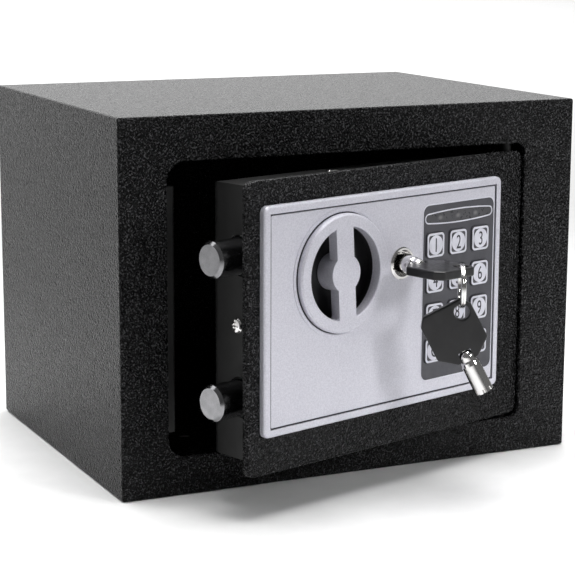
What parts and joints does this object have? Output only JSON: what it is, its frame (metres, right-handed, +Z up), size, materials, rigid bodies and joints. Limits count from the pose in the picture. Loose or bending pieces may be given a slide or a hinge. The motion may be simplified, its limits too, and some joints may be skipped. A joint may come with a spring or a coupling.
{
  "type": "electronic home safe",
  "caption": "Compact steel home safe with an inset door standing ajar, silver keypad faceplate, turning knob, side bolts and an override lock with hanging spare key.",
  "frame": {"origin": "middle of the cabinet's underside", "axes": "+Z up, the door faces -Y, hinge on the +X side; +Y out of the back"},
  "size_m": [0.23, 0.2401, 0.17],
  "materials": {
    "black_coat": "black powder coat with a fine hammered texture",
    "satin_black": "smooth satin black paint",
    "silver_face": "satin silver finish",
    "black_plastic": "black moulded plastic",
    "dark_panel": "dark grey printed overlay",
    "smoked_window": "smoked translucent window",
    "light_lens": "unlit diffused lenses",
    "button_silver": "satin silver keys with dark digits",
    "chrome": "polished",
    "zinc_steel": "bright zinc plating",
    "circuit_board": "green solder mask",
    "white_plastic": "natural nylon",
    "cell_wrap": "plain printed sleeve",
    "red_plastic": "moulded"
  },
  "bodies": {
    "cabinet": {"body_wrap": "black_coat", "front_frame": "black_coat", "back_plate": "black_coat", "keeper_strip": "satin_black", "hinge_bracket_upper": "satin_black", "hinge_bracket_lower": "satin_black"},
    "door": {"door_plate": "black_coat", "door_tray": "satin_black", "tray_screws": "zinc_steel", "hinge_blocks": "satin_black", "hinge_pins": "satin_black", "faceplate": "silver_face", "faceplate_nuts": "zinc_steel", "knob_well": "black_plastic", "keypad_overlay": "dark_panel", "indicator_window": "smoked_window", "keypad_board": "circuit_board", "status_lights": "light_lens", "bolt_guide": "zinc_steel", "solenoid": "zinc_steel", "lock_housing": "chrome", "lock_nut": "zinc_steel", "main_board": "circuit_board", "board_posts": "white_plastic", "buzzer": "black_plastic", "battery_holder": "black_plastic", "battery_cells": "cell_wrap"},
    "knob": {"knob": "silver_face", "knob_crank": "zinc_steel"},
    "boltwork": {"bolt_upper": "chrome", "bolt_lower": "chrome", "bolt_carrier": "zinc_steel", "carrier_rivets": "zinc_steel"},
    "key": {"lock_plug": "chrome", "lock_cam": "zinc_steel", "key_barrel": "chrome", "key_head": "black_plastic"},
    "ring": {"split_ring": "chrome"},
    "spare_key": {"spare_key_barrel": "chrome", "spare_key_head": "black_plastic"},
    "plunger": {"solenoid_plunger": "zinc_steel"},
    "reset": {"reset_button": "red_plastic"},
    "battery_lid": {"battery_cover": "black_plastic"},
    "key_1": {"button_1": "button_silver"},
    "key_2": {"button_2": "button_silver"},
    "key_3": {"button_3": "button_silver"},
    "key_4": {"button_4": "button_silver"},
    "key_5": {"button_5": "button_silver"},
    "key_6": {"button_6": "button_silver"},
    "key_7": {"button_7": "button_silver"},
    "key_8": {"button_8": "button_silver"},
    "key_9": {"button_9": "button_silver"},
    "key_clear": {"button_clear": "button_silver"},
    "key_0": {"button_0": "button_silver"},
    "key_enter": {"button_enter": "button_silver"}
  },
  "joints": [
    {"name": "door_hinge", "type": "hinge", "parent": "cabinet", "child": "door", "pos_m": [0.0818, -0.0815, 0.085], "axis": [0, 0, 1], "range_deg": [-17, 76]},
    {"name": "knob_turn", "type": "hinge", "parent": "door", "child": "knob", "pos_m": [-0.02627, -0.12134, 0.1025], "axis": [-0.2924, 0.9563, 0], "range_deg": [0, 90]},
    {"name": "bolt_slide", "type": "slide", "parent": "door", "child": "boltwork", "axis": [0.9563, 0.2924, 0], "range_m": [0, 0.013]},
    {"name": "key_turn", "type": "hinge", "parent": "door", "child": "key", "pos_m": [0.00833, -0.10762, 0.1024], "axis": [0.2924, -0.9563, 0], "range_deg": [0, 90]},
    {"name": "ring_swing", "type": "hinge", "parent": "key", "child": "ring", "pos_m": [0.02268, -0.14356, 0.1024], "axis": [-0.9048, 0.4258, 0], "range_deg": [0, 45]},
    {"name": "spare_key_swing", "type": "hinge", "parent": "ring", "child": "spare_key", "pos_m": [0.02268, -0.14356, 0.08735], "axis": [-0.4258, -0.9048, 0], "range_deg": [-35, 35]},
    {"name": "plunger_slide", "type": "slide", "parent": "door", "child": "plunger", "axis": [0, 0, -1], "range_m": [-0.005, 0]},
    {"name": "reset_push", "type": "slide", "parent": "door", "child": "reset", "axis": [0.2924, -0.9563, 0], "range_m": [0, 0.0013], "stiffness_N_per_m": 300},
    {"name": "battery_lid_slide", "type": "slide", "parent": "door", "child": "battery_lid", "axis": [-0.9563, -0.2924, 0], "range_m": [0, 0.045]},
    {"name": "push_1", "type": "slide", "parent": "door", "child": "key_1", "axis": [-0.2924, 0.9563, 0], "range_m": [0, 0.0007], "stiffness_N_per_m": 300},
    {"name": "push_2", "type": "slide", "parent": "door", "child": "key_2", "axis": [-0.2924, 0.9563, 0], "range_m": [0, 0.0007], "stiffness_N_per_m": 300},
    {"name": "push_3", "type": "slide", "parent": "door", "child": "key_3", "axis": [-0.2924, 0.9563, 0], "range_m": [0, 0.0007], "stiffness_N_per_m": 300},
    {"name": "push_4", "type": "slide", "parent": "door", "child": "key_4", "axis": [-0.2924, 0.9563, 0], "range_m": [0, 0.0007], "stiffness_N_per_m": 300},
    {"name": "push_5", "type": "slide", "parent": "door", "child": "key_5", "axis": [-0.2924, 0.9563, 0], "range_m": [0, 0.0007], "stiffness_N_per_m": 300},
    {"name": "push_6", "type": "slide", "parent": "door", "child": "key_6", "axis": [-0.2924, 0.9563, 0], "range_m": [0, 0.0007], "stiffness_N_per_m": 300},
    {"name": "push_7", "type": "slide", "parent": "door", "child": "key_7", "axis": [-0.2924, 0.9563, 0], "range_m": [0, 0.0007], "stiffness_N_per_m": 300},
    {"name": "push_8", "type": "slide", "parent": "door", "child": "key_8", "axis": [-0.2924, 0.9563, 0], "range_m": [0, 0.0007], "stiffness_N_per_m": 300},
    {"name": "push_9", "type": "slide", "parent": "door", "child": "key_9", "axis": [-0.2924, 0.9563, 0], "range_m": [0, 0.0007], "stiffness_N_per_m": 300},
    {"name": "push_clear", "type": "slide", "parent": "door", "child": "key_clear", "axis": [-0.2924, 0.9563, 0], "range_m": [0, 0.0007], "stiffness_N_per_m": 300},
    {"name": "push_0", "type": "slide", "parent": "door", "child": "key_0", "axis": [-0.2924, 0.9563, 0], "range_m": [0, 0.0007], "stiffness_N_per_m": 300},
    {"name": "push_enter", "type": "slide", "parent": "door", "child": "key_enter", "axis": [-0.2924, 0.9563, 0], "range_m": [0, 0.0007], "stiffness_N_per_m": 300}
  ],
  "couplings": [
    {"joint": "knob_turn", "follows": "bolt_slide", "rad_per_m": 120.83}
  ]
}
